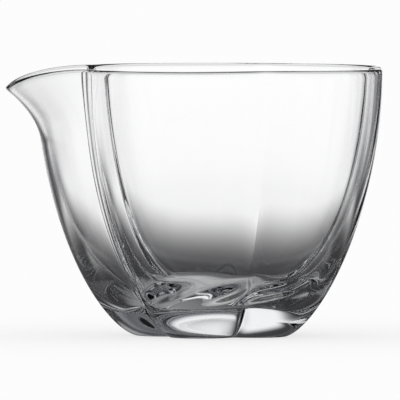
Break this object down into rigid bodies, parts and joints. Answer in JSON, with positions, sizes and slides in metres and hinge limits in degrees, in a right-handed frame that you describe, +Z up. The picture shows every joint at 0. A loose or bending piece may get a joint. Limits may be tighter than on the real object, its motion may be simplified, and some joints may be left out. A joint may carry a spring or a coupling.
{
  "type": "tea fairness pitcher",
  "caption": "Handleless pouring pitcher of thick clear glass for sharing tea evenly: a bowl pinched into petals, with a solid base and a petal drawn out into a spout.",
  "frame": {"origin": "middle of the foot, on the surface that the pitcher stands on and on the axis of the bowl", "axes": "+Z up along the axis of the bowl, -X towards the tip of the spout, +Y across it"},
  "size_m": [0.108, 0.1014, 0.077],
  "materials": {
    "clear_glass": "fire-polished clear glass"
  },
  "bodies": {
    "root": {"pitcher": "clear_glass"}
  },
  "joints": []
}
